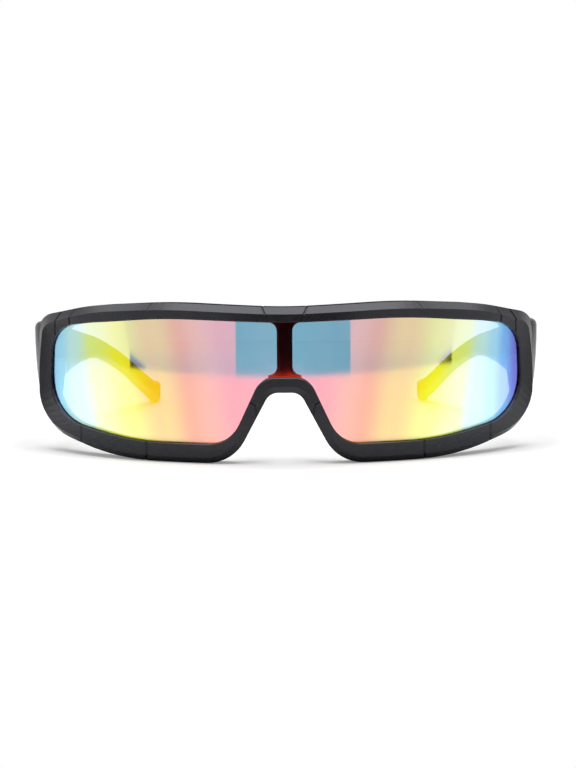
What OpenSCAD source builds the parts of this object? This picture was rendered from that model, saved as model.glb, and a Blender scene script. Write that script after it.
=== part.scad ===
// Wraparound shield sunglasses: one mirrored shield lens in a chunky moulded front,
// a slim post behind the middle of the lens, and two folding temples.
// Millimetres. +Z is up and the front faces -Y. The glasses stand on their lower rim
// and on the tips of the open temples. The origin is under the middle of their box.

/* [Front] */
// Width of the front's outline, measured on its wrapped face
front_w = 145; // [130:0.2:160]
// Height of the front from its lowest edge to the top of the brow
front_h = 43.7; // [36:0.1:54]
// Dip of the brow over the nose
brow_dip = 1.3; // [0:0.1:3]
// How far the front's sides sweep back behind its foremost line
wrap_depth = 40.63; // [20:0.01:50]
// Depth of the rim from its front face to its back
rim_depth = 7; // [6:0.1:10]
// Height of the rim above the lens
brow_h = 4; // [3.2:0.1:6]
// Height of the rim below the lens
sill_h = 5.5; // [4.2:0.1:8]
// Width of the rim beside the lens
cheek_w = 5.7; // [4.8:0.1:7]
// Width of the sloping band round the outside of the front face
bevel_w = 1.8; // [1:0.1:2.4]
// Depth to which that band slopes back
bevel_depth = 1.9; // [1:0.1:3]
// Extra width of the band where it turns the upper corners into the shoulders
corner_bevel = 1.7; // [0:0.1:2.2]
// Size of the broken edge round the lens opening
edge_break = 0.3; // [0.2:0.05:0.5]
// Width to which the rim narrows at its back, where the opening widens behind the lens
back_w = 3; // [2.8:0.1:4]
// Rounding of the rim's back edges
back_round = 1; // [0.5:0.1:1.5]

/* [Nose] */
// Width of the nose arch at its top
nose_top_w = 8.4; // [6.5:0.1:12]
// Width of the nose arch at its foot
nose_foot_w = 29.4; // [24:0.1:36]
// Height of the nose arch
nose_arch_h = 19.4; // [15:0.1:22]
// Height of the bridge between the nose arch and the lens
bridge_h = 4.3; // [3.5:0.1:6]
// Sideways step from the nose arch's top corner to the opening's corner above it
nose_side_w = 2.3; // [1.6:0.1:4]
// How far the moulded nose pads stand back behind the rim
pad_depth = 5; // [2:0.1:8]
// How far the pads splay apart over that depth
pad_splay = 1.6; // [0.5:0.1:2.4]

/* [Centre post] */
// Width of the post behind the middle of the lens
post_w = 4.2; // [3:0.1:7]
// Radius of the corners where the post meets the rim
post_fillet = 2.4; // [1:0.1:4]

/* [Lens] */
// Thickness of the lens
lens_t = 2; // [1.4:0.1:2.4]
// How far the lens lies behind the front face
lens_setback = 0.9; // [0.8:0.1:3]
// How far the lens reaches into its groove in the rim
lens_overlap = 1.2; // [0.6:0.1:1.6]
// Thickness of the lip that holds the lens from behind
back_lip_t = 0.4; // [0.3:0.1:1]
// Gap all round the lens in its groove
lens_clearance = 0.05; // [0.02:0.01:0.1]

/* [Shoulders] */
// How far each shoulder stands out beyond the front's side ridge
shoulder_out = 1.8; // [1:0.1:5]
// Distance from the rim's rearmost edge back to the temple joints
shoulder_run = 3.72; // [3:0.02:14]
// How far the top of each shoulder climbs from the joint to the rim
shoulder_rise = 2; // [0:0.1:2.4]
// Height of the shoulder and of the temple where they meet
joint_h = 20.6; // [15:0.1:24]
// Thickness of the shoulder and of the temple where they meet
joint_t = 5; // [4:0.1:6]
// Height of the middle of the joint above the ground
joint_z = 25.4; // [20:0.1:28]
// How far the joint's outer face leans inward at its foot
joint_lean = 1.5; // [0:0.1:2.5]
// Rounding of the joint's outline
joint_round = 1.9; // [0.8:0.1:2]
// Gap between shoulder and temple when the temple is open
joint_gap = 0.12; // [0.1:0.01:0.3]

/* [Temples] */
// Length of a temple from its joint to its tip
temple_l = 112; // [95:1:140]
// How far the tip lies inward of the joint
tip_inset = 25.4; // [15:0.2:34]
// Height of the slim part of the temple
arm_h = 5.4; // [4:0.1:8]
// Thickness of the slim part of the temple
arm_t = 3.2; // [2.4:0.1:4]
// Height of the temple's tip
tip_h = 6.8; // [5:0.1:9]
// Thickness of the temple's tip
tip_t = 2.9; // [2.2:0.1:4]
// Length over which the tip's end is rounded
tip_round = 3.4; // [2:0.1:5]

/* [Hinges] */
// Outer radius of the hinge barrels
barrel_r = 1.8; // [1.5:0.05:2.2]
// Height of each of the three barrels
barrel_h = 2.6; // [2:0.1:3.6]
// Gap between one barrel and the next
barrel_gap = 0.1; // [0.05:0.01:0.2]
// Radius of the hinge screw's shank
pin_r = 0.7; // [0.5:0.05:0.9]
// Running clearance between the shank and its bore
bore_clearance = 0.04; // [0.02:0.01:0.08]
// Radius of the screw's head
head_r = 1.2; // [1:0.05:1.3]
// Height of the screw's head
head_h = 0.6; // [0.4:0.05:1]
// Thickness of the hinge leaves
leaf_t = 1.1; // [0.8:0.1:1.6]
// Length of the tang that anchors each leaf in the plastic
tang_l = 4.5; // [3:0.1:6]
// Clearance between a leaf and its pocket in the plastic
pocket_clearance = 0.04; // [0.02:0.01:0.1]

/* [Grooves] */
// Half width of the fine grooves cut across the front
groove_r = 0.34; // [0.2:0.02:0.5]

/* [Hidden] */

// Spacing of the outline's points along its straight runs
edge_step = 3.6;
// Number of steps round each corner of the outline
arc_steps = 8;
// Number of steps between one row of the temple's table and the next
arm_steps = 8;
// Number of rings that round the temple's tip
tip_steps = 6;
// Number of steps along each shoulder
shoulder_steps = 8;
// Facets of the lens's tube, of the barrels, of small bores and of the fine grooves
tube_facets = 180;
barrel_facets = 48;
bore_facets = 32;
groove_facets = 6;
// How far cutting solids run past what they cut
overrun = 1;
// Largest share of a straight run that the rounded corners at its two ends may take
run_share = 0.99;
// Two directions count as opposite where their sum is a smaller share of them than this
opposite_share = 0.0001;
// Colours shown in the preview
plastic_colour = "#17181a";
lens_colour = "#f3b27a";
metal_colour = "silver";

// Where the middle point of a three-point edge rounding lies, as a share of the rounding
soft_share = 0.3;
// How far the shoulder's curves hold to their two end directions
pull_share = 0.45;
// Largest rounding of the temple's section, as a share of its thickness
section_round_share = 0.46;
// Angle through which the temple's tip is rounded off
tip_end_angle = 82;

// Corners of the outer outline from the top middle down to the nose,
// as shares of the half width and of the height
outer_corner_shares = [[0, 1], [0.456, 1], [0.765, 0.962], [1, 0.864],
    [1, 0.5], [0.99, 0.16], [0.656, 0]];
// Radii of all the outer corners, those of the nose arch last, as shares of the height
outer_round_shares = [4.5, 3.6, 1.4, 0.14, 1.8, 0.3, 1.7, 0.28, 0.09];
// Place of the upper outer corner in that list, and how much of its bevel's extra width
// goes into height
upper_corner = 3;
corner_drop_share = 0.4;
// Steps from the outer corners to the opening's corners,
// as shares of the rim's width beside the lens and of its height above or below
brow_step_shares = [[0, 1], [0, 1.07], [0.1, 1.19], [1.12, 0.6], [1, 0]];
sill_step_shares = [[1, 0.56], [0.96, 1]];
// Radii of the opening's corners, as shares of the height
opening_round_shares = [4.5, 3, 1.4, 0.19, 0.8, 0.28, 1.82, 0.216, 0.137];
// Heights between which the nose pads grow out of the arch, as shares of its height
pad_from_share = 0.06;
pad_to_share = 0.96;

// Grooves of the brow: place on the face and on the bevel's outer edge as shares of
// the half width, and how much of the face's height the groove crosses
brow_groove_shares = [[0.073, 0.086, 0], [0.516, 0.509, 0], [0.833, 0.828, 1], [0.896, 0.889, 1]];
// Grooves of the sill in the same way
sill_groove_shares = [[0.525, 0.545, 1], [0.79, 0.805, 1]];
// Groove beside the nose: its heights at the opening, on the bevel's inner edge and on
// its outer edge, as shares of the arch's height
nose_groove_shares = [0.87, 0.824, 0.66];

// Temple rows from the joint to the tip: distance back, distance inward, height of the
// centre line, share of the joint's section and share of the tip's section
arm_shares = [
    [0, 0, 1, 1, 0],
    [0.09, 0.13, 1.04, 0.62, 0],
    [0.19, 0.31, 1.04, 0.24, 0],
    [0.32, 0.47, 0.96, 0.04, 0],
    [0.56, 0.66, 0.65, 0, 0],
    [0.8, 0.84, 0.25, 0, 0.5],
    [0.95, 0.96, 0, 0, 1],
    [1, 1, 0, 0, 1]
];

half_w = front_w / 2;
// The wrap is the circle that has this sweep at the front's half width
wrap_r = (half_w * half_w + wrap_depth * wrap_depth) / (2 * wrap_depth);
joint_depth = wrap_r - (wrap_r - rim_depth) * cos(asin(half_w / wrap_r)) + shoulder_run;
front_y = -(joint_depth + temple_l) / 2;
wrap_axis_y = front_y + wrap_r;
joint_y = front_y + joint_depth;
brow_z = front_h - brow_dip;
ridge_x = half_w - bevel_w;
shoulder_x = ridge_x + shoulder_out;
lens_front_n = lens_setback;
lens_back_n = lens_setback + lens_t;

// Small helpers for outlines
function unit(v) = v / norm(v);
function mix(a, b, t) = a + (b - a) * t;
function turned(v, a) = [v.x * cos(a) - v.y * sin(a), v.x * sin(a) + v.y * cos(a)];
function smooth(t) = t * t * (3 - 2 * t);
function bezier(b, t) = let (s = 1 - t)
    s * s * s * b[0] + 3 * s * s * t * b[1] + 3 * s * t * t * b[2] + t * t * t * b[3];

// A point of the wrapped front: x and z as seen from the front, n behind the face
function on_wrap(x, z, n) = let (a = asin(x / wrap_r))
    [(wrap_r - n) * sin(a), wrap_axis_y - (wrap_r - n) * cos(a), z];

// How far the rounding at p reaches towards its neighbours a and b
function corner_reach(a, p, b, r) = r / tan(acos(unit(a - p) * unit(b - p)) / 2);

// The rounded corner at p. One without a bend gets its points in a row
function corner_arc(a, p, b, r) = norm(unit(a - p) + unit(b - p)) < opposite_share
    ? [for (i = [0:arc_steps]) p + unit(b - a) * edge_step * (i / arc_steps - 1 / 2)]
    : rounded_corner(a, p, b, r);
function rounded_corner(a, p, b, r) = let (
        u = unit(a - p), v = unit(b - p), half = acos(u * v) / 2,
        reach = corner_reach(a, p, b, r), centre = p + unit(u + v) * r / sin(half),
        from = p + u * reach - centre, to = p + v * reach - centre,
        sweep = sign(cross(from, to)) * (180 - 2 * half)
    ) [for (i = [0:arc_steps]) centre + turned(from, sweep * i / arc_steps)];

// Corners and radii of the right half, from the top middle to the nose,
// completed by their mirror image
function mirrored(half) = concat(half,
    [for (i = [len(half) - 1:-1:1]) [-half[i].x, half[i].y]]);
function mirrored_values(half) = concat(half, [for (i = [len(half) - 1:-1:1]) half[i]]);

outer_half = concat(
    [for (i = [0:len(outer_corner_shares) - 1]) [
        outer_corner_shares[i].x * half_w,
        outer_corner_shares[i].y * front_h - (i == 0 ? brow_dip : 0)
    ]],
    [[nose_foot_w / 2, 0], [nose_top_w / 2, nose_arch_h]]
);
brow_rows = len(brow_step_shares);
sill_rows = len(sill_step_shares);
opening_half = concat(
    [for (i = [0:brow_rows - 1]) outer_half[i]
        - [brow_step_shares[i].x * cheek_w, brow_step_shares[i].y * brow_h]],
    [for (i = [0:sill_rows - 1]) outer_half[brow_rows + i]
        + [-sill_step_shares[i].x * cheek_w, sill_step_shares[i].y * sill_h]],
    [[nose_foot_w / 2 + edge_break, sill_h],
        [nose_top_w / 2 + nose_side_w, nose_arch_h + bridge_h]]
);
outer_corners = mirrored(outer_half);
opening_corners = mirrored(opening_half);
corner_count = len(outer_corners);
function corner_at(i) = outer_corners[(i + corner_count) % corner_count];

// The face ends on a line that runs inside the outer outline at the bevel's width. Corners
// turn right where the outline bulges, which makes their radius smaller on that line
face_corners = [for (i = [0:corner_count - 1]) let (
        before = turned(unit(corner_at(i) - corner_at(i - 1)), -90),
        after = turned(unit(corner_at(i + 1) - corner_at(i)), -90),
        extra = min(i, corner_count - i) == upper_corner ? corner_bevel : 0
    ) corner_at(i) + bevel_w * (before + after) / (1 + before * after)
        - extra * [sign(corner_at(i).x), corner_drop_share]];
face_turns = [for (i = [0:corner_count - 1])
    sign(cross(corner_at(i) - corner_at(i - 1), corner_at(i + 1) - corner_at(i)))];

// All the outlines take the same number of points on each run, so that they pair up
run_counts = [for (i = [0:corner_count - 1])
    2 * ceil(norm(outer_corners[(i + 1) % corner_count] - outer_corners[i]) / edge_step / 2)];

function outline(corners, radii) = let (
        arcs = [for (i = [0:corner_count - 1]) corner_arc(
            corners[(i + corner_count - 1) % corner_count], corners[i],
            corners[(i + 1) % corner_count], radii[i])]
    ) [for (i = [0:corner_count - 1])
        let (next = arcs[(i + 1) % corner_count][0], last = arcs[i][arc_steps])
        each concat(arcs[i], [for (k = [1:run_counts[i] - 1]) mix(last, next, k / run_counts[i])])];

// Radii made smaller where two corners would leave no straight run between them
function fitted_radii(corners, radii) = let (
        last = corner_count - 1,
        reaches = [for (i = [0:last]) corner_reach(corners[(i + last) % corner_count],
            corners[i], corners[(i + 1) % corner_count], radii[i])],
        rooms = [for (i = [0:last]) run_share * norm(corners[(i + 1) % corner_count] - corners[i])
            / (reaches[i] + reaches[(i + 1) % corner_count])]
    ) [for (i = [0:last]) radii[i] * min(1, rooms[i], rooms[(i + last) % corner_count])];

outer_radii = mirrored_values(outer_round_shares) * front_h;
outer_points = outline(outer_corners, outer_radii);
face_points = outline(face_corners, outer_radii + bevel_w * face_turns);
opening_points = outline(opening_corners,
    fitted_radii(opening_corners, mirrored_values(opening_round_shares) * front_h));
station_count = len(outer_points);

// How much of the nose pad there is at a point of the outer outline
function pad_share(p) = let (
        t = (p.y / nose_arch_h - pad_from_share) / (pad_to_share - pad_from_share)
    ) abs(p.x) > nose_foot_w / 2 || t <= 0 || t >= 1 ? 0 : pow(sin(180 * t), 2);

// The rim's section from a point p of the opening across the face to f and on to q
function rim_ring(p, f, q) = let (
        w = norm(q - p), along = (q - p) / w, pad = pad_share(q),
        depth = rim_depth + pad_depth * pad, wall = w - pad_splay * pad,
        soft = soft_share * back_round, inner = max(w - back_w, 0) * (1 - pad)
    ) [for (s = [
            [p, edge_break], [p + edge_break * along, 0], [f, 0], [q, bevel_depth],
            [p + wall * along, depth - back_round], [p + (wall - soft) * along, depth - soft],
            [p + (wall - back_round) * along, depth], [p + (inner + back_round) * along, depth],
            [p + (inner + soft) * along, depth - soft], [p + inner * along, depth - back_round],
            [p, lens_back_n + back_lip_t]
        ]) on_wrap(s[0].x, s[0].y, s[1])];

// A rounded rectangle of 19 points, w across and h high. Its outer side leans in at the
// foot and its inner side stays upright, so each point moves by its share of the width
function section_ring(w, h, r, lean) = [for (c = [
        [1, 1, 0, 0], [1, 1, 30, 0], [1, 1, 60, 0], [1, 1, 90, 0],
        [-1, 1, 90, 0], [-1, 1, 120, 0], [-1, 1, 150, 0], [-1, 1, 180, 0],
        [-1, -1, 180, 0], [-1, -1, 210, 0], [-1, -1, 240, 0], [-1, -1, 270, 0],
        [1, -1, 270, 0], [1, -1, 300, 0], [1, -1, 330, 0], [1, -1, 360, 0],
        [1, -1, 360, 0.25], [1, -1, 360, 0.5], [1, -1, 360, 0.75]
    ]) let (
        x = c.x * (w / 2 - r) + r * cos(c[2]),
        z = c.y * (h / 2 - r) + r * sin(c[2]) + c[3] * (h - 2 * r),
        foot = 0.5 - z / h
    ) [x - lean * foot * foot * foot * (0.5 + x / w), z]];

function ring_centre(ring) = [for (p = ring) 1 / len(ring)] * ring;

// A solid skinned over rings of equal length, closed on itself or capped.
// Each cap fans out from its centre, so that points in a row make no flat triangle
module loft(rings, closed = false) {
    m = len(rings[0]);
    n = len(rings);
    spans = closed ? n : n - 1;
    sides = [for (i = [0:spans - 1]) for (j = [0:m - 1]) let (
            a = i * m + j, b = i * m + (j + 1) % m,
            c = ((i + 1) % n) * m + (j + 1) % m, d = ((i + 1) % n) * m + j
        ) each [[a, b, c], [a, c, d]]];
    caps = closed ? [] : [for (j = [0:m - 1]) let (k = (j + 1) % m)
        each [[k, j, n * m], [(n - 1) * m + j, (n - 1) * m + k, n * m + 1]]];
    centres = closed ? [] : [ring_centre(rings[0]), ring_centre(rings[n - 1])];
    polyhedron(points = concat([for (r = rings) each r], centres), faces = concat(sides, caps));
}

// Two-sided features are drawn for the wearer's left and mirrored for the right
module on_side(side) {
    if (side > 0) children();
    else mirror([1, 0, 0]) children();
}

module rim() {
    loft([for (i = [0:station_count - 1])
        rim_ring(opening_points[i], face_points[i], outer_points[i])], closed = true);
}

// The lens blank: the opening's outline grown by its hold in the rim, cut from a tube
module lens_blank(grow) {
    hold = lens_overlap + grow;
    intersection() {
        translate([0, front_y + joint_depth, 0]) rotate([90, 0, 0])
            linear_extrude(height = joint_depth + overrun)
            polygon([for (i = [0:station_count - 1]) let (
                    p = opening_points[i], out = unit(outer_points[i] - p)
                ) p + hold * [out.x * cos(asin(p.x / wrap_r)), out.y]]);
        translate([0, wrap_axis_y, -overrun]) difference() {
            cylinder(r = wrap_r - lens_front_n + grow, h = front_h + 2 * overrun, $fn = tube_facets);
            translate([0, 0, -overrun]) cylinder(r = wrap_r - lens_back_n - grow,
                h = front_h + 4 * overrun, $fn = tube_facets);
        }
    }
}

// The post with the rounded window corners beside it
module centre_post() {
    low = nose_arch_h + bridge_h / 2;
    high = brow_z - brow_h / 2;
    window_low = nose_arch_h + bridge_h;
    window_high = brow_z - brow_h;
    reach = post_w / 2 + post_fillet;
    post_t = rim_depth - lens_back_n - lens_clearance;
    translate([0, front_y + rim_depth, 0]) rotate([90, 0, 0]) linear_extrude(height = post_t)
        difference() {
            translate([-reach, low]) square([2 * reach, high - low]);
            for (s = [-1, 1]) hull() for (z = [window_low + post_fillet, window_high - post_fillet])
                translate([s * reach, z]) circle(r = post_fillet, $fn = bore_facets);
        }
}

// The shoulder: each point of the joint's section is carried forward into the rim, the
// outer ones to the line where the face ends, so that the bevel flows into the shoulder
module shoulder() {
    root_w = (cheek_w - bevel_w) / 2;
    upright = section_ring(joint_t, joint_h, joint_round, 0);
    leaning = section_ring(joint_t, joint_h, joint_round, joint_lean);
    paths = [for (i = [0:len(upright) - 1]) let (
            outward = 0.5 + upright[i].x / joint_t,
            z = joint_z + upright[i].y + shoulder_rise * (0.5 + upright[i].y / joint_h),
            edge = point_on(face_points, side_stations, z, 1),
            root = on_wrap(edge.x - (1 - outward) * root_w, z,
                mix(rim_depth - back_round, edge_break, outward)),
            end = [shoulder_x - joint_t / 2 + leaning[i].x, joint_y - joint_gap / 2,
                joint_z + leaning[i].y],
            before = mix(end, root, pull_share)
        ) [root, mix(root, end, pull_share), [end.x, before.y, before.z], end]];
    loft([for (i = [0:shoulder_steps]) [for (b = paths) bezier(b, i / shoulder_steps)]]);
}

// A fine groove through the given points
module groove(points) {
    for (i = [0:len(points) - 2]) hull() for (p = [points[i], points[i + 1]])
        translate(p) sphere(r = groove_r, $fn = groove_facets);
}

// Stations of the wearer's left half that lie on the brow, on the side, on the sill and
// beside the nose
brow_stations = [for (i = [0:station_count - 1]) let (p = outer_points[i])
    if (p.x > 0 && p.y > front_h / 2) i];
side_stations = [for (i = [0:station_count - 1]) let (p = outer_points[i])
    if (p.x > half_w * outer_corner_shares[2].x && p.y > sill_h) i];
sill_stations = [for (i = [0:station_count - 1]) let (p = outer_points[i])
    if (p.x > nose_foot_w / 2 && p.y < front_h / 2) i];
arch_stations = [for (i = [0:station_count - 1]) let (p = outer_points[i])
    if (p.x > 0 && p.x < nose_foot_w / 2 && p.y < nose_arch_h) i];

// The point of a line round the rim at a given x (axis 0) or at a given height (axis 1)
function point_on(line, stations, key, axis) = let (
        other = lookup(key, [for (i = stations) [line[i][axis], line[i][1 - axis]]])
    ) axis == 0 ? [key, other] : [other, key];

// A groove's three points: at the opening, on the bevel's inner edge and on its outer edge
function groove_path(stations, keys, axis) = let (
        face = point_on(opening_points, stations, keys[0], axis),
        ridge = point_on(face_points, stations, keys[1], axis),
        edge = point_on(outer_points, stations, keys[2], axis)
    ) [on_wrap(face.x, face.y, 0), on_wrap(ridge.x, ridge.y, 0),
        on_wrap(edge.x, edge.y, bevel_depth)];

module edge_groove(shares, stations) {
    path = groove_path(stations, [shares[0], shares[0], shares[1]] * half_w, 0);
    edge = point_on(outer_points, stations, shares[1] * half_w, 0);
    if (shares[2] > 0) groove([path[0], path[1]]);
    groove([path[1], path[2], on_wrap(edge.x, edge.y, rim_depth - back_round)]);
}

module front_grooves() {
    for (g = brow_groove_shares) edge_groove(g, brow_stations);
    for (g = sill_groove_shares) edge_groove(g, sill_stations);
    groove(groove_path(arch_stations, nose_groove_shares * nose_arch_h, 1));
}

// Hinge: its axis stands in the joint plane, just inside the shoulder
hinge_x = shoulder_x - joint_t - barrel_gap - barrel_r;
hinge_h = 3 * barrel_h + 2 * barrel_gap;
hinge_low = joint_z - hinge_h / 2;
barrel_step = barrel_h + barrel_gap;
leaf_reach = shoulder_x - joint_t / 2 - hinge_x;

module at_hinge() {
    translate([hinge_x, joint_y, hinge_low]) children();
}

// One leaf's plate, and the tang that stands out from the middle of its thickness;
// dir is -1 towards the front and 1 towards the temple
module leaf_plate(dir, grow) {
    start = dir > 0 ? joint_gap / 2 : -joint_gap / 2 - leaf_t;
    translate([0, start - grow, -grow])
        cube([leaf_reach + grow, leaf_t + 2 * grow, hinge_h + 2 * grow]);
    tang_reach = tang_l + leaf_t / 2 + grow;
    tang_start = start + leaf_t / 2 - (dir > 0 ? 0 : tang_reach);
    translate([leaf_reach - 3 * leaf_t / 2 - grow, tang_start, barrel_step - grow])
        cube([leaf_t + 2 * grow, tang_reach, barrel_h + 2 * grow]);
}

// Room in the plastic for a leaf, open towards the joint and towards the barrels
module leaf_pocket(dir) {
    at_hinge() {
        leaf_plate(dir, pocket_clearance);
        if (dir < 0) translate([0, 0, -barrel_gap])
            cylinder(r = barrel_r + barrel_gap, h = hinge_h + 2 * barrel_gap, $fn = bore_facets);
    }
}

// A leaf with its barrels at the given places, counted from below
module leaf(dir, places) {
    color(metal_colour) at_hinge() difference() {
        union() {
            difference() {
                leaf_plate(dir, 0);
                for (k = [0:2]) if (len(search(k, places)) == 0)
                    translate([0, 0, k * barrel_step - barrel_gap])
                        cylinder(r = barrel_r + 2 * barrel_gap, h = barrel_h + 2 * barrel_gap,
                            $fn = barrel_facets);
            }
            for (k = places) translate([0, 0, k * barrel_step])
                cylinder(r = barrel_r, h = barrel_h, $fn = barrel_facets);
        }
        translate([0, 0, -overrun])
            cylinder(r = pin_r + bore_clearance, h = hinge_h + 2 * overrun, $fn = bore_facets);
        translate([0, 0, hinge_h - head_h])
            cylinder(r = head_r + bore_clearance, h = head_h + overrun, $fn = bore_facets);
    }
}

module hinge_screw() {
    slot_w = head_h / 2;
    color(metal_colour) at_hinge() difference() {
        union() {
            cylinder(r = pin_r, h = hinge_h - head_h / 2, $fn = bore_facets);
            translate([0, 0, hinge_h - head_h + bore_clearance])
                cylinder(r = head_r, h = head_h, $fn = bore_facets);
        }
        translate([-head_r - overrun, -slot_w / 2, hinge_h - head_h / 3])
            cube([2 * (head_r + overrun), slot_w, head_h]);
    }
}

// Temple rings: rows are passed through smoothly, then the tip is rounded off
function row_at(i) = arm_shares[min(max(i, 0), len(arm_shares) - 1)];
function spline(a, b, c, d, t) = (2 * b + (c - a) * t + (2 * a - 5 * b + 4 * c - d) * t * t
    + (3 * b - a - 3 * c + d) * t * t * t) / 2;
function arm_row(u) = let (i = min(floor(u), len(arm_shares) - 2))
    spline(row_at(i - 1), row_at(i), row_at(i + 1), row_at(i + 2), u - i);

function arm_ring(row, shrink) = let (
        root = max(row[3], 0), tip = max(min(row[4], 1), 0),
        w = arm_t + (joint_t - arm_t) * root + (tip_t - arm_t) * tip,
        h = arm_h + (joint_h - arm_h) * root + (tip_h - arm_h) * tip,
        r = min(mix(w / 2, joint_round, smooth(root)), w * section_round_share),
        x = shoulder_x - joint_t / 2 - tip_inset * row[1],
        y = mix(joint_y + joint_gap / 2, joint_y + temple_l, row[0]),
        z = tip_h / 2 + (joint_z - tip_h / 2) * max(row[2], 0)
    ) [for (c = section_ring(w, h, r, joint_lean * root)) [x + c.x * shrink, y, z + c.y * shrink]];

module temple() {
    last = len(arm_shares) - 1;
    round_from = 1 - tip_round / temple_l;
    body = [for (k = [0:last * arm_steps]) let (row = arm_row(k / arm_steps))
        if (row[0] < round_from) arm_ring(row, 1)];
    tip = [for (k = [0:tip_steps]) let (
            a = tip_end_angle * k / tip_steps, along = mix(round_from, 1, sin(a)),
            row = mix(arm_shares[last - 1], arm_shares[last],
                (along - arm_shares[last - 1][0]) / (1 - arm_shares[last - 1][0]))
        ) arm_ring([along, row[1], row[2], row[3], row[4]], cos(a))];
    difference() {
        loft(concat(body, tip));
        leaf_pocket(1);
    }
}

module front_frame() {
    color(plastic_colour) difference() {
        union() {
            rim();
            centre_post();
            for (s = [1, -1]) on_side(s) shoulder();
        }
        lens_blank(lens_clearance);
        for (s = [1, -1]) on_side(s) {
            leaf_pocket(-1);
            front_grooves();
        }
    }
}

module shield_lens() { color(lens_colour) lens_blank(0); }
module temple_left() { color(plastic_colour) on_side(1) temple(); }
module temple_right() { color(plastic_colour) on_side(-1) temple(); }
module hinge_front_leaf_left() { on_side(1) leaf(-1, [0, 2]); }
module hinge_front_leaf_right() { on_side(-1) leaf(-1, [0, 2]); }
module hinge_temple_leaf_left() { on_side(1) leaf(1, [1]); }
module hinge_temple_leaf_right() { on_side(-1) leaf(1, [1]); }
module hinge_screw_left() { on_side(1) hinge_screw(); }
module hinge_screw_right() { on_side(-1) hinge_screw(); }

front_frame();
shield_lens();
temple_left();
temple_right();
hinge_front_leaf_left();
hinge_front_leaf_right();
hinge_temple_leaf_left();
hinge_temple_leaf_right();
hinge_screw_left();
hinge_screw_right();
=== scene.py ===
import bpy
import math
from mathutils import Matrix, Vector

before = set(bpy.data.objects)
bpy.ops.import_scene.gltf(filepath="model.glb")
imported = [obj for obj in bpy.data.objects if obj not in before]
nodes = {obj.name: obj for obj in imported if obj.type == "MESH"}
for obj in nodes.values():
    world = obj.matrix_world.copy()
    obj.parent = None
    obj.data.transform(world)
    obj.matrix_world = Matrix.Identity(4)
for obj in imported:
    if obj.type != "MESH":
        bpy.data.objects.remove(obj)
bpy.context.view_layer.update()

print("loaded", len(nodes), "parts")

# the wrap that the front and the lens share, as part.scad has it
wrap = {
    "axisY": 0.004997,      # the wrap's axis stands here
    "radius": 0.085,        # of the front's face
    "lensMiddle": 0.0019,   # how far the middle of the lens lies behind that face
    "lensHalfWidth": 0.0682,
}


# small helpers for node trees

def newMaterial(name):
    mat = bpy.data.materials.new(name)
    mat.use_nodes = True
    mat.node_tree.nodes.clear()
    return mat, mat.node_tree


def addNode(tree, kind, sockets={}, **settings):
    n = tree.nodes.new(kind)
    for key, value in settings.items():
        setattr(n, key, value)
    for name, value in sockets.items():
        if hasattr(value, "links"):
            tree.links.new(value, n.inputs[name])
        else:
            n.inputs[name].default_value = value
    return n


def mathNode(tree, operation, *values, clamp=False):
    n = addNode(tree, "ShaderNodeMath", dict(enumerate(values)), operation=operation, use_clamp=clamp)
    return n.outputs[0]


def spread(tree, source, low, high, fromLow=0.3, fromHigh=0.7):
    # goes from low to high while the source goes from fromLow to fromHigh, and stays within them
    n = addNode(tree, "ShaderNodeMapRange", {
        "Value": source, "From Min": fromLow, "From Max": fromHigh, "To Min": low, "To Max": high})
    return n.outputs[0]


def between(tree, source, low, high):
    return mathNode(tree, "MULTIPLY", mathNode(tree, "GREATER_THAN", source, low),
                    mathNode(tree, "LESS_THAN", source, high))


def rgba(colour):
    return colour if hasattr(colour, "links") else (*colour, 1)


def mixColours(tree, share, first, second):
    sockets = {0: share, 6: rgba(first), 7: rgba(second)}
    return addNode(tree, "ShaderNodeMix", sockets, data_type="RGBA").outputs[2]


def mixValues(tree, share, first, second):
    return addNode(tree, "ShaderNodeMix", {0: share, 2: first, 3: second}, data_type="FLOAT").outputs[0]


def rampNode(tree, source, stops):
    n = addNode(tree, "ShaderNodeValToRGB", {0: source})
    n.color_ramp.interpolation = "EASE"
    while len(n.color_ramp.elements) < len(stops):
        n.color_ramp.elements.new(1.0)
    for element, (place, colour) in zip(n.color_ramp.elements, stops):
        element.position = place
        element.color = rgba(colour)
    return n.outputs["Color"]


def noiseNode(tree, coords, scale, detail, stretch=(1, 1, 1), roughness=0.55):
    place = addNode(tree, "ShaderNodeMapping", {"Vector": coords, "Scale": stretch}).outputs[0]
    n = addNode(tree, "ShaderNodeTexNoise", {
        "Vector": place, "Scale": scale, "Detail": detail, "Roughness": roughness})
    return n.outputs["Fac"]


def finishTree(tree, surface, kind="ShaderNodeOutputMaterial", columnWide=220, rowHigh=260):
    # the output node, and every node one column to the left of what it feeds
    depths = {}
    waiting = [(addNode(tree, kind, {"Surface": surface}), 0)]
    while waiting:
        n, depth = waiting.pop()
        if depths.get(n, -1) < depth:
            depths[n] = depth
            waiting += [(link.from_node, depth + 1) for socket in n.inputs for link in socket.links]
    rows = {}
    for n, depth in depths.items():
        rows[depth] = rows.get(depth, -1) + 1
        n.location = (-columnWide * depth, -rowHigh * rows[depth])


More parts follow.
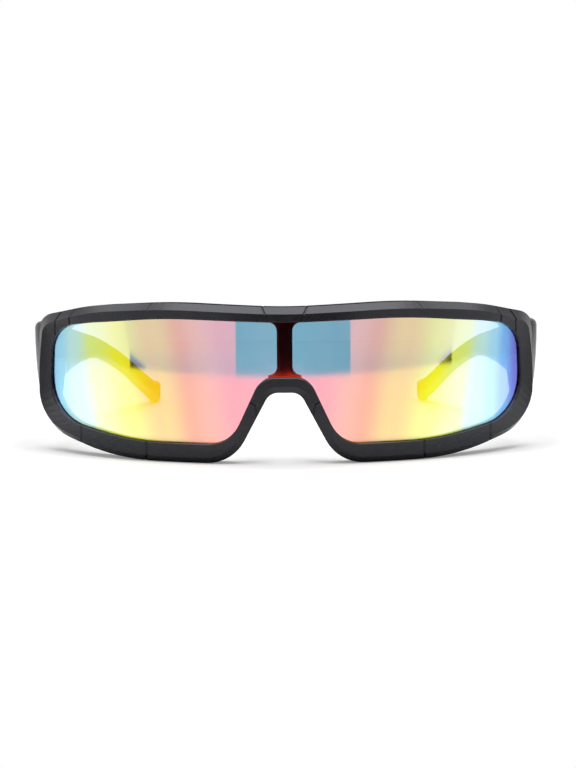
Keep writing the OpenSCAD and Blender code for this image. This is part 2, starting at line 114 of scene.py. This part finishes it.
# moulded plastic of the front and the temples
plastic = {
    "colour": (0.0070, 0.0072, 0.0086),
    "worn": (0.024, 0.024, 0.028),
    "wornFrom": (0.512, 0.56),      # pointiness of an edge that starts to wear, and of a worn one
    "wornPatch": (0.2, 0.6),
    "rough": (0.21, 0.28),
    "smearRough": (-0.012, 0.016),
    "ior": 1.5,
    "sheen": (0.90, 0.91, 1.0),
    "glossAndPaintedShade": (0.1, 0.5),            # painted shade: the gloss is turned down deep in a groove, and full on the open face
    "grooveShadeFrom": (0.42, 0.485),    # pointiness of these two
    "footGlossPaintedShade": 0.5,               # painted shade: how much of the gloss is left at the foot, so the face is darker towards the bottom
    "footFrom": (0.0005, 0.0065),   # heights where this is so, and where all of it is left
    "grain": 2600,                  # fine grain of the mould, per metre
    "grainStrength": 0.2,
    "grainHeight": 0.000012,
    "flow": 55,                     # slow unevenness of the moulding
    "smear": 420,
    "smearStretch": (1, 1, 2.4),
}


def makePlastic():
    mat, tree = newMaterial("satinBlackPlastic")
    coords = addNode(tree, "ShaderNodeTexCoord").outputs["Object"]
    height = addNode(tree, "ShaderNodeSeparateXYZ", {0: coords}).outputs["Z"]
    edge = addNode(tree, "ShaderNodeNewGeometry").outputs["Pointiness"]
    grain = noiseNode(tree, coords, plastic["grain"], detail=3)
    flow = noiseNode(tree, coords, plastic["flow"], detail=4)
    smear = noiseNode(tree, coords, plastic["smear"], detail=5, stretch=plastic["smearStretch"])

    worn = mathNode(tree, "MULTIPLY", spread(tree, edge, 0, 1, *plastic["wornFrom"]),
                    spread(tree, smear, *plastic["wornPatch"]), clamp=True)
    # painted shade: less gloss in grooves and towards the foot, so these read darker
    glossAndPaintedShade = mathNode(tree, "MULTIPLY", spread(tree, edge, *plastic["glossAndPaintedShade"], *plastic["grooveShadeFrom"]),
                     spread(tree, height, plastic["footGlossPaintedShade"], 1, *plastic["footFrom"]))
    rough = mathNode(tree, "ADD", spread(tree, flow, *plastic["rough"]),
                     spread(tree, smear, *plastic["smearRough"]))
    bump = addNode(tree, "ShaderNodeBump", {
        "Height": grain, "Strength": plastic["grainStrength"], "Distance": plastic["grainHeight"]})
    shader = addNode(tree, "ShaderNodeBsdfPrincipled", {
        "Base Color": mixColours(tree, worn, plastic["colour"], plastic["worn"]),
        "Roughness": rough,
        "IOR": plastic["ior"],
        "Specular IOR Level": glossAndPaintedShade,
        "Specular Tint": rgba(plastic["sheen"]),
        "Normal": bump.outputs[0],
    })
    finishTree(tree, shader.outputs[0])
    return mat


# mirror coating: what it sends back, and what the tinted lens lets through, run from the
# middle of the lens to its ends
mirror = {
    "reflected": [
        (0.00, (0.90, 0.045, 0.020)),
        (0.20, (0.93, 0.075, 0.010)),
        (0.36, (0.98, 0.260, 0.010)),
        (0.50, (1.00, 0.600, 0.008)),
        (0.65, (0.98, 0.960, 0.020)),
        (0.76, (0.80, 0.950, 0.200)),
        (0.84, (0.58, 0.900, 0.800)),
        (0.895, (0.40, 0.800, 1.000)),
        (0.945, (0.22, 0.520, 1.000)),
        (1.00, (0.19, 0.210, 0.780)),
    ],
    "passed": [
        (0.00, (0.195, 0.435, 0.575)),
        (0.25, (0.158, 0.395, 0.530)),
        (0.42, (0.070, 0.230, 0.380)),
        (0.58, (0.080, 0.150, 0.380)),
        (0.78, (0.290, 0.250, 0.550)),
        (1.00, (0.330, 0.300, 0.480)),
    ],
    "uncoated": (0.97, 0.97, 0.97),     # what the other faces of the lens let through
    "shift": 0.0012,                    # how far the bands stand to one side
    "shiftMore": 0.22,                  # and how much more for each metre squared out
    "bend": 2.6,                        # how much further in they stand for each metre down
    "level": 0.029,                     # from this height
    "endBend": 0.1,                     # how much of the bend is left at the ends of the lens
    "endFrom": (0.75, 0.95),
    "drift": (-0.018, 0.018),           # a slow unevenness of the bands
    "driftScale": 18,
    "edge": 0.0018,                     # painted shade: the coating's reflection is darkened this near to the rim
    "edgeShade": (0.5, 0.95),
    "edgeUpTo": (0.026, 0.034),         # but not above these heights
    "edgeFrom": (0.017, 0.027),         # and not nearer to the middle than this
    "rough": (0.035, 0.065),
    "smudge": 160,
}


def makeMirrorLens():
    mat, tree = newMaterial("rainbowMirrorLens")
    coords = addNode(tree, "ShaderNodeTexCoord").outputs["Object"]
    x, y, z = addNode(tree, "ShaderNodeSeparateXYZ", {0: coords}).outputs
    sideways = mathNode(tree, "ABSOLUTE", x)

    # the coating is only on the front of the lens: a mask by distance from the wrap's axis
    behind = mathNode(tree, "SUBTRACT", y, wrap["axisY"])
    away = mathNode(tree, "SQRT", mathNode(tree, "ADD", mathNode(tree, "POWER", x, 2),
                                           mathNode(tree, "POWER", behind, 2)))
    coated = mathNode(tree, "GREATER_THAN", away, wrap["radius"] - wrap["lensMiddle"])
    # painted shade: an ambient occlusion mask darkens the coating near the rim, low down and away from the
    # middle
    rim = addNode(tree, "ShaderNodeAmbientOcclusion", {"Distance": mirror["edge"]}, samples=8)
    clearOfPaintedShade = mathNode(tree, "MAXIMUM", spread(tree, z, 0, 1, *mirror["edgeUpTo"]),
                    spread(tree, sideways, 1, 0, *mirror["edgeFrom"]))
    clearOfPaintedShade = mathNode(tree, "MAXIMUM", clearOfPaintedShade, spread(tree, rim.outputs["AO"], 0, 1, *mirror["edgeShade"]))
    mirrored = mathNode(tree, "MULTIPLY", coated, clearOfPaintedShade)

    # the bands stand a little to one side and bend inwards towards the bottom, and a slow
    # drift keeps them from running dead straight
    more = mathNode(tree, "MULTIPLY", mathNode(tree, "POWER", x, 2), mirror["shiftMore"])
    shifted = mathNode(tree, "ADD", mathNode(tree, "ADD", x, mirror["shift"]), more)
    side = mathNode(tree, "DIVIDE", mathNode(tree, "ABSOLUTE", shifted), wrap["lensHalfWidth"])
    bend = mathNode(tree, "MULTIPLY", mathNode(tree, "SUBTRACT", mirror["level"], z), mirror["bend"])
    bend = mathNode(tree, "MULTIPLY", bend, spread(tree, side, 1, mirror["endBend"], *mirror["endFrom"]))
    drift = spread(tree, noiseNode(tree, coords, mirror["driftScale"], detail=2), *mirror["drift"])
    place = mathNode(tree, "ADD", side, mathNode(tree, "ADD", drift, bend))

    coat = mixColours(tree, mirrored, (0, 0, 0), rampNode(tree, place, mirror["reflected"]))
    tint = mixColours(tree, coated, mirror["uncoated"], rampNode(tree, place, mirror["passed"]))
    smudge = noiseNode(tree, coords, mirror["smudge"], detail=5)
    shine = addNode(tree, "ShaderNodeBsdfPrincipled", {
        "Base Color": coat, "Metallic": 1, "Roughness": spread(tree, smudge, *mirror["rough"])})
    glass = addNode(tree, "ShaderNodeBsdfTransparent", {"Color": tint})
    both = addNode(tree, "ShaderNodeAddShader", {0: shine.outputs[0], 1: glass.outputs[0]})
    finishTree(tree, both.outputs[0])
    return mat


# steel of the hinges
steel = {
    "colour": (0.60, 0.60, 0.61),
    "stain": (0.42, 0.41, 0.40),
    "stainFrom": (0.45, 0.7),
    "stainScale": 700,
    "rough": (0.24, 0.40),
    "brush": 5200,
    "brushStretch": (1, 1, 0.08),
    "brushStrength": 0.3,
    "brushDepth": 0.00001,
}


def makeSteel():
    mat, tree = newMaterial("hingeSteel")
    coords = addNode(tree, "ShaderNodeTexCoord").outputs["Object"]
    brushed = noiseNode(tree, coords, steel["brush"], detail=2, stretch=steel["brushStretch"])
    stain = noiseNode(tree, coords, steel["stainScale"], detail=4)
    stained = spread(tree, stain, 0, 1, *steel["stainFrom"])
    bump = addNode(tree, "ShaderNodeBump", {
        "Height": brushed, "Strength": steel["brushStrength"], "Distance": steel["brushDepth"]})
    shader = addNode(tree, "ShaderNodeBsdfPrincipled", {
        "Base Color": mixColours(tree, stained, steel["colour"], steel["stain"]),
        "Metallic": 1,
        "Roughness": spread(tree, brushed, *steel["rough"]),
        "Normal": bump.outputs[0],
    })
    finishTree(tree, shader.outputs[0])
    return mat


finishes = {"front_frame": makePlastic(), "shield_lens": makeMirrorLens()}
finishes["temple_left"] = finishes["temple_right"] = finishes["front_frame"]
hingeSteel = makeSteel()
for name, part in nodes.items():
    finish = finishes.get(name, hingeSteel)
    if not part.material_slots:
        part.data.materials.append(finish)
    for slot in part.material_slots:
        slot.material = finish
print("finished plastic, lens and steel")


# a round white table that glows a little, so that it runs into the white background
table = {
    "radius": 0.315,
    "wide": 1.10,
    "shift": 0.005,
    "facets": 160,
    "colour": (0.90, 0.90, 0.90),
    "glow": 0.22,                   # added where the camera sees the table itself
    "farGlow": 0.13,                # added to what is seen through the lens, far behind it
    "farFrom": (0.08, 0.27),
    "corner": (0.062, -0.043),      # the front's ends, from which the next directions are measured
    "darkFrom": (109, 112),         # degrees round from straight ahead
    "darkUpTo": (122, 132),
    "behindFrom": (0.05, 0.10),     # further back than this the reflections are dark again
    "behindWide": 0.05,
    "dark": 0.03,                   # what is left of the table's light in these reflections
}


def addTable():
    bpy.ops.object.select_all(action="DESELECT")
    bpy.ops.mesh.primitive_circle_add(vertices=table["facets"], radius=table["radius"],
                                      fill_type="NGON", location=(table["shift"], 0, 0))
    top = bpy.context.active_object
    top.scale.x = table["wide"]
    bpy.ops.object.transform_apply(location=True, rotation=False, scale=True)
    top.name = "tableTop"

    mat, tree = newMaterial("whiteTable")
    path = addNode(tree, "ShaderNodeLightPath").outputs
    coords = addNode(tree, "ShaderNodeTexCoord").outputs["Object"]
    x, y = addNode(tree, "ShaderNodeSeparateXYZ", {0: coords}).outputs[:2]

    # painted reflection: for glossy rays only, parts of the table are darkened, so they show dark when
    # mirrored in the front's sides and in the lens
    cornerX, cornerY = table["corner"]
    outward = mathNode(tree, "SUBTRACT", mathNode(tree, "ABSOLUTE", x), cornerX)
    turned = mathNode(tree, "ARCTAN2", outward, mathNode(tree, "SUBTRACT", cornerY, y))
    azimuth = mathNode(tree, "ABSOLUTE", mathNode(tree, "MULTIPLY", turned, math.degrees(1)))
    beside = mathNode(tree, "MULTIPLY", spread(tree, azimuth, 0, 1, *table["darkFrom"]),
                      spread(tree, azimuth, 1, 0, *table["darkUpTo"]))
    behind = mathNode(tree, "MULTIPLY", spread(tree, y, 0, 1, *table["behindFrom"]),
                      mathNode(tree, "LESS_THAN", outward, table["behindWide"]))
    dark = mathNode(tree, "MULTIPLY", mathNode(tree, "MAXIMUM", beside, behind), path["Is Glossy Ray"])
    dimmed = [c * table["dark"] for c in table["colour"]]
    board = addNode(tree, "ShaderNodeBsdfDiffuse", {
        "Color": mixColours(tree, dark, table["colour"], dimmed)})

    # the glow, seen directly or through the lens
    through = mathNode(tree, "GREATER_THAN", path["Transparent Depth"], 0)
    seen = mixValues(tree, through, table["glow"], spread(tree, y, 0, table["farGlow"], *table["farFrom"]))
    glow = addNode(tree, "ShaderNodeEmission", {
        "Strength": mathNode(tree, "MULTIPLY", path["Is Camera Ray"], seen)})
    both = addNode(tree, "ShaderNodeAddShader", {0: board.outputs[0], 1: glow.outputs[0]})
    finishTree(tree, both.outputs[0])
    top.data.materials.append(mat)


# a light tent with its opening towards the camera, which only reflections show
tent = {
    "radius": 0.62,
    "top": 1.00,
    "bottom": -0.45,
    "facets": 128,
    "opening": (-18.5, 24.0),       # its edges, in degrees from straight ahead
    "openGlow": 0.006,
    "murk": 0.04,                   # faint cloudy light in the opening, but not in its middle
    "murkScale": 9,
    "murkShare": (0.46, 0.62),
    "murkFrom": (4, 9),
    "lean": 2.25,                   # how far the panels' edges stand round to one side
    "panelEdge": 66.4,              # where the front panels meet the side walls
    "panelSlant": 143.0,            # and how far it slants in for each metre below the table
    "panelGlow": 0.70,
    "panelNear": 0.58,              # the panels are dimmer beside the opening
    "panelFrom": (20, 42),
    "panelFoot": 0.78,              # and at their feet
    "footFrom": (-0.0285, -0.016),
    "wallGlow": 0.78,
    "sideEdge": 107.0,              # a dark gap in the side walls
    "farEdge": 122.0,               # ends where the back wall starts
    "backGlow": 0.65,
    "middleEdge": 159.0,            # the middle of the back wall is dark again
    "darkGlow": 0.03,
    "gap": (56.4, 63.4),            # a dark wedge at the foot of the panels' edges
    "gapFoot": -0.0275,
    "gapRise": 0.00096,             # how much higher it stands for each degree round
    "topGlow": 1.55,
    "topFrom": (0.42, 0.60),
}


def tentGlow(tree, coords):
    # how bright each part of the tent is, by the direction it stands in and by its height
    x, y, height = addNode(tree, "ShaderNodeSeparateXYZ", {0: coords}).outputs
    turned = mathNode(tree, "ARCTAN2", x, mathNode(tree, "MULTIPLY", y, -1))
    azimuth = mathNode(tree, "MULTIPLY", turned, math.degrees(1))
    away = mathNode(tree, "ABSOLUTE", mathNode(tree, "SUBTRACT", azimuth, tent["lean"]))

    panel = spread(tree, away, tent["panelNear"], tent["panelGlow"], *tent["panelFrom"])
    panel = mathNode(tree, "MULTIPLY", panel, spread(tree, height, tent["panelFoot"], 1, *tent["footFrom"]))
    slant = mathNode(tree, "MULTIPLY", mathNode(tree, "MINIMUM", height, 0), tent["panelSlant"])
    edge = mathNode(tree, "ADD", slant, tent["panelEdge"])
    cloud = noiseNode(tree, coords, tent["murkScale"], detail=1)
    murk = mathNode(tree, "MULTIPLY", spread(tree, cloud, 0, tent["murk"], *tent["murkShare"]),
                    spread(tree, away, 0, 1, *tent["murkFrom"]))
    gapFrom, gapTo = tent["gap"]
    slope = mathNode(tree, "MULTIPLY", mathNode(tree, "SUBTRACT", away, gapFrom), tent["gapRise"])
    low = mathNode(tree, "LESS_THAN", height, mathNode(tree, "ADD", slope, tent["gapFoot"]))
    gap = mathNode(tree, "MULTIPLY", low, between(tree, away, gapFrom, gapTo))

    # each of these covers the ones before it
    glow = tent["wallGlow"]
    for mask, value in (
        (mathNode(tree, "LESS_THAN", away, edge), panel),
        (between(tree, azimuth, *tent["opening"]), mathNode(tree, "ADD", tent["openGlow"], murk)),
        (mathNode(tree, "GREATER_THAN", away, tent["sideEdge"]), tent["darkGlow"]),
        (mathNode(tree, "GREATER_THAN", away, tent["farEdge"]), tent["backGlow"]),
        (mathNode(tree, "GREATER_THAN", away, tent["middleEdge"]), tent["darkGlow"]),
        (gap, tent["darkGlow"]),
    ):
        glow = mixValues(tree, mask, glow, value)
    return mathNode(tree, "ADD", glow, spread(tree, height, 0, tent["topGlow"], *tent["topFrom"]))


def addTent():
    bpy.ops.object.select_all(action="DESELECT")
    bpy.ops.mesh.primitive_cylinder_add(
        vertices=tent["facets"], radius=tent["radius"], depth=tent["top"] - tent["bottom"],
        end_fill_type="NOTHING", location=(0, 0, (tent["top"] + tent["bottom"]) / 2))
    cloth = bpy.context.active_object
    cloth.name = "lightTent"
    bpy.ops.object.transform_apply(location=True, rotation=False, scale=False)
    mat, tree = newMaterial("tentCloth")
    coords = addNode(tree, "ShaderNodeTexCoord").outputs["Object"]
    glow = addNode(tree, "ShaderNodeEmission", {"Strength": tentGlow(tree, coords)})
    finishTree(tree, glow.outputs[0])
    cloth.data.materials.append(mat)
    cloth.visible_camera = False
    cloth.visible_diffuse = False
    cloth.visible_shadow = False
    cloth.visible_transmission = False


addTable()
addTent()
print("set the table and the tent")


# light: one large soft box overhead, and an even glow from all round
light = {
    "boxSize": 0.75,
    "boxHeight": 0.74,
    "boxPower": 5.6,
    "boxPlace": (0.0, -0.05),
    "colour": (1, 1, 1),
    "around": 0.34,
    "background": 1.0,      # the white that the camera sees
}


def addLight():
    data = bpy.data.lights.new("overheadBox", "AREA")
    data.shape = "SQUARE"
    data.size = light["boxSize"]
    data.energy = light["boxPower"]
    box = bpy.data.objects.new("overheadBox", data)
    box.location = (*light["boxPlace"], light["boxHeight"])
    bpy.context.collection.objects.link(box)

    world = bpy.data.worlds.new("paleRoom")
    bpy.context.scene.world = world
    world.use_nodes = True
    tree = world.node_tree
    tree.nodes.clear()
    path = addNode(tree, "ShaderNodeLightPath").outputs
    seen = mathNode(tree, "MAXIMUM", path["Is Camera Ray"], path["Is Transmission Ray"])
    background = addNode(tree, "ShaderNodeBackground", {
        "Color": rgba(light["colour"]),
        "Strength": mixValues(tree, seen, light["around"], light["background"]),
    })
    finishTree(tree, background.outputs[0], "ShaderNodeOutputWorld")


addLight()
print("lit the stage")


# camera, as the photograph was taken
camera = {
    "distance": 0.600,
    "elevation": 6.0,
    "turn": 0.4,
    "roll": 0.4,
    "focal": 104.625,
    "sensor": 36,
    "clip": (0.02, 20),
    "aim": (0.0, -0.080, 0.022),
    "pivot": (0.0, -0.055, 0.0),
    "sideStep": 0.0007,
}


def addCamera():
    data = bpy.data.cameras.new("photoCamera")
    data.lens = camera["focal"]
    data.sensor_width = camera["sensor"]
    data.clip_start, data.clip_end = camera["clip"]
    view = bpy.data.objects.new("photoCamera", data)
    bpy.context.collection.objects.link(view)
    tilt = math.radians(camera["elevation"])
    place = Vector(camera["aim"]) + camera["distance"] * Vector((0, -math.cos(tilt), math.sin(tilt)))
    place.x += camera["sideStep"]
    pivot = Vector(camera["pivot"])
    turned = Matrix.Rotation(math.radians(camera["turn"]), 4, "Z")
    upright = Matrix.Rotation(math.pi / 2 - tilt, 4, "X")
    rolled = Matrix.Rotation(-math.radians(camera["roll"]), 4, "Z")
    view.matrix_world = Matrix.Translation(pivot + turned @ (place - pivot)) @ turned @ upright @ rolled
    bpy.context.scene.camera = view


addCamera()
bpy.context.scene.view_settings.view_transform = "Standard"
print("placed the camera")
